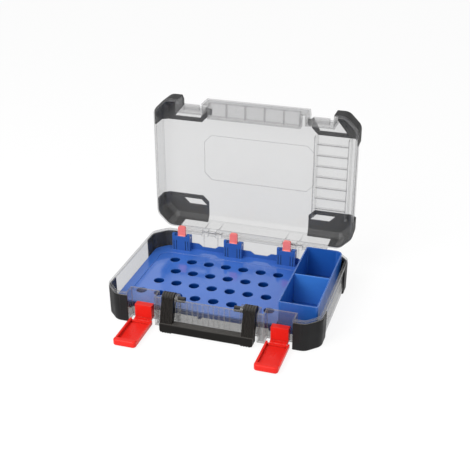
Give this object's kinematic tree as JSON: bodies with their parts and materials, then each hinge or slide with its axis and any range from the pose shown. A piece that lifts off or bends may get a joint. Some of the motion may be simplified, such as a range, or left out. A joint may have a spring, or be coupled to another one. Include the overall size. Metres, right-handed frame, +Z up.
{
  "type": "hole saw case",
  "caption": "Clear two-half hole saw case with dark corner guards, hinged lid, two snap latches, swing handle, holed insert tray with clip levers and a divided parts bin.",
  "frame": {"origin": "middle of the base's flat underside", "axes": "+Z up, -Y to the front with the latches and handle, +X to the side with the bin"},
  "size_m": [0.3858, 0.382, 0.3207],
  "materials": {
    "clear": "clear gloss",
    "guard": "fine grain",
    "red": "satin",
    "blue": "satin",
    "handle": "satin",
    "steel": "drawn"
  },
  "bodies": {
    "base": {"base_shell": "clear", "base_guard_front_left": "guard", "base_guard_front_right": "guard", "base_guard_rear_left": "guard", "base_guard_rear_right": "guard", "latch_plate_left": "red", "latch_pin_left": "steel", "hinge_pin_left": "steel", "latch_plate_right": "red", "latch_pin_right": "steel", "hinge_pin_right": "steel", "clip_tower_left": "blue", "clip_tower_center": "blue", "clip_tower_right": "blue", "insert_tray": "blue", "rear_rail": "blue", "accessory_bin": "blue", "bin_divider": "blue", "clip_pins": "steel"},
    "lid": {"lid_shell": "clear", "lid_guard_front_left": "guard", "lid_guard_front_right": "guard", "lid_guard_rear_left": "guard", "lid_guard_rear_right": "guard"},
    "handle": {"carry_handle": "handle"},
    "latch_left": {"latch_paddle_left": "red"},
    "latch_right": {"latch_paddle_right": "red"},
    "clip_left": {"clip_lever_left": "red"},
    "clip_center": {"clip_lever_center": "red"},
    "clip_right": {"clip_lever_right": "red"}
  },
  "joints": [
    {"name": "lid_hinge", "type": "hinge", "parent": "base", "child": "lid", "pos_m": [0, 0.1328, 0.058], "axis": [-1, 0, 0], "range_deg": [-90, 0]},
    {"name": "handle_swing", "type": "hinge", "parent": "base", "child": "handle", "pos_m": [0, -0.119, 0.056], "axis": [-1, 0, 0], "range_deg": [0, 90]},
    {"name": "latch_left_swing", "type": "hinge", "parent": "base", "child": "latch_left", "pos_m": [-0.1225, -0.1253, 0.004], "axis": [-1, 0, 0], "range_deg": [0, 90]},
    {"name": "latch_right_swing", "type": "hinge", "parent": "base", "child": "latch_right", "pos_m": [0.1225, -0.1253, 0.004], "axis": [-1, 0, 0], "range_deg": [0, 90]},
    {"name": "clip_left_press", "type": "hinge", "parent": "base", "child": "clip_left", "pos_m": [-0.1361, 0.1157, 0.05], "axis": [-1, 0, 0], "range_deg": [0, 12], "stiffness_Nm_per_rad": 0.3},
    {"name": "clip_center_press", "type": "hinge", "parent": "base", "child": "clip_center", "pos_m": [-0.0313, 0.1157, 0.05], "axis": [-1, 0, 0], "range_deg": [0, 12], "stiffness_Nm_per_rad": 0.3},
    {"name": "clip_right_press", "type": "hinge", "parent": "base", "child": "clip_right", "pos_m": [0.0735, 0.1157, 0.05], "axis": [-1, 0, 0], "range_deg": [0, 12], "stiffness_Nm_per_rad": 0.3}
  ]
}
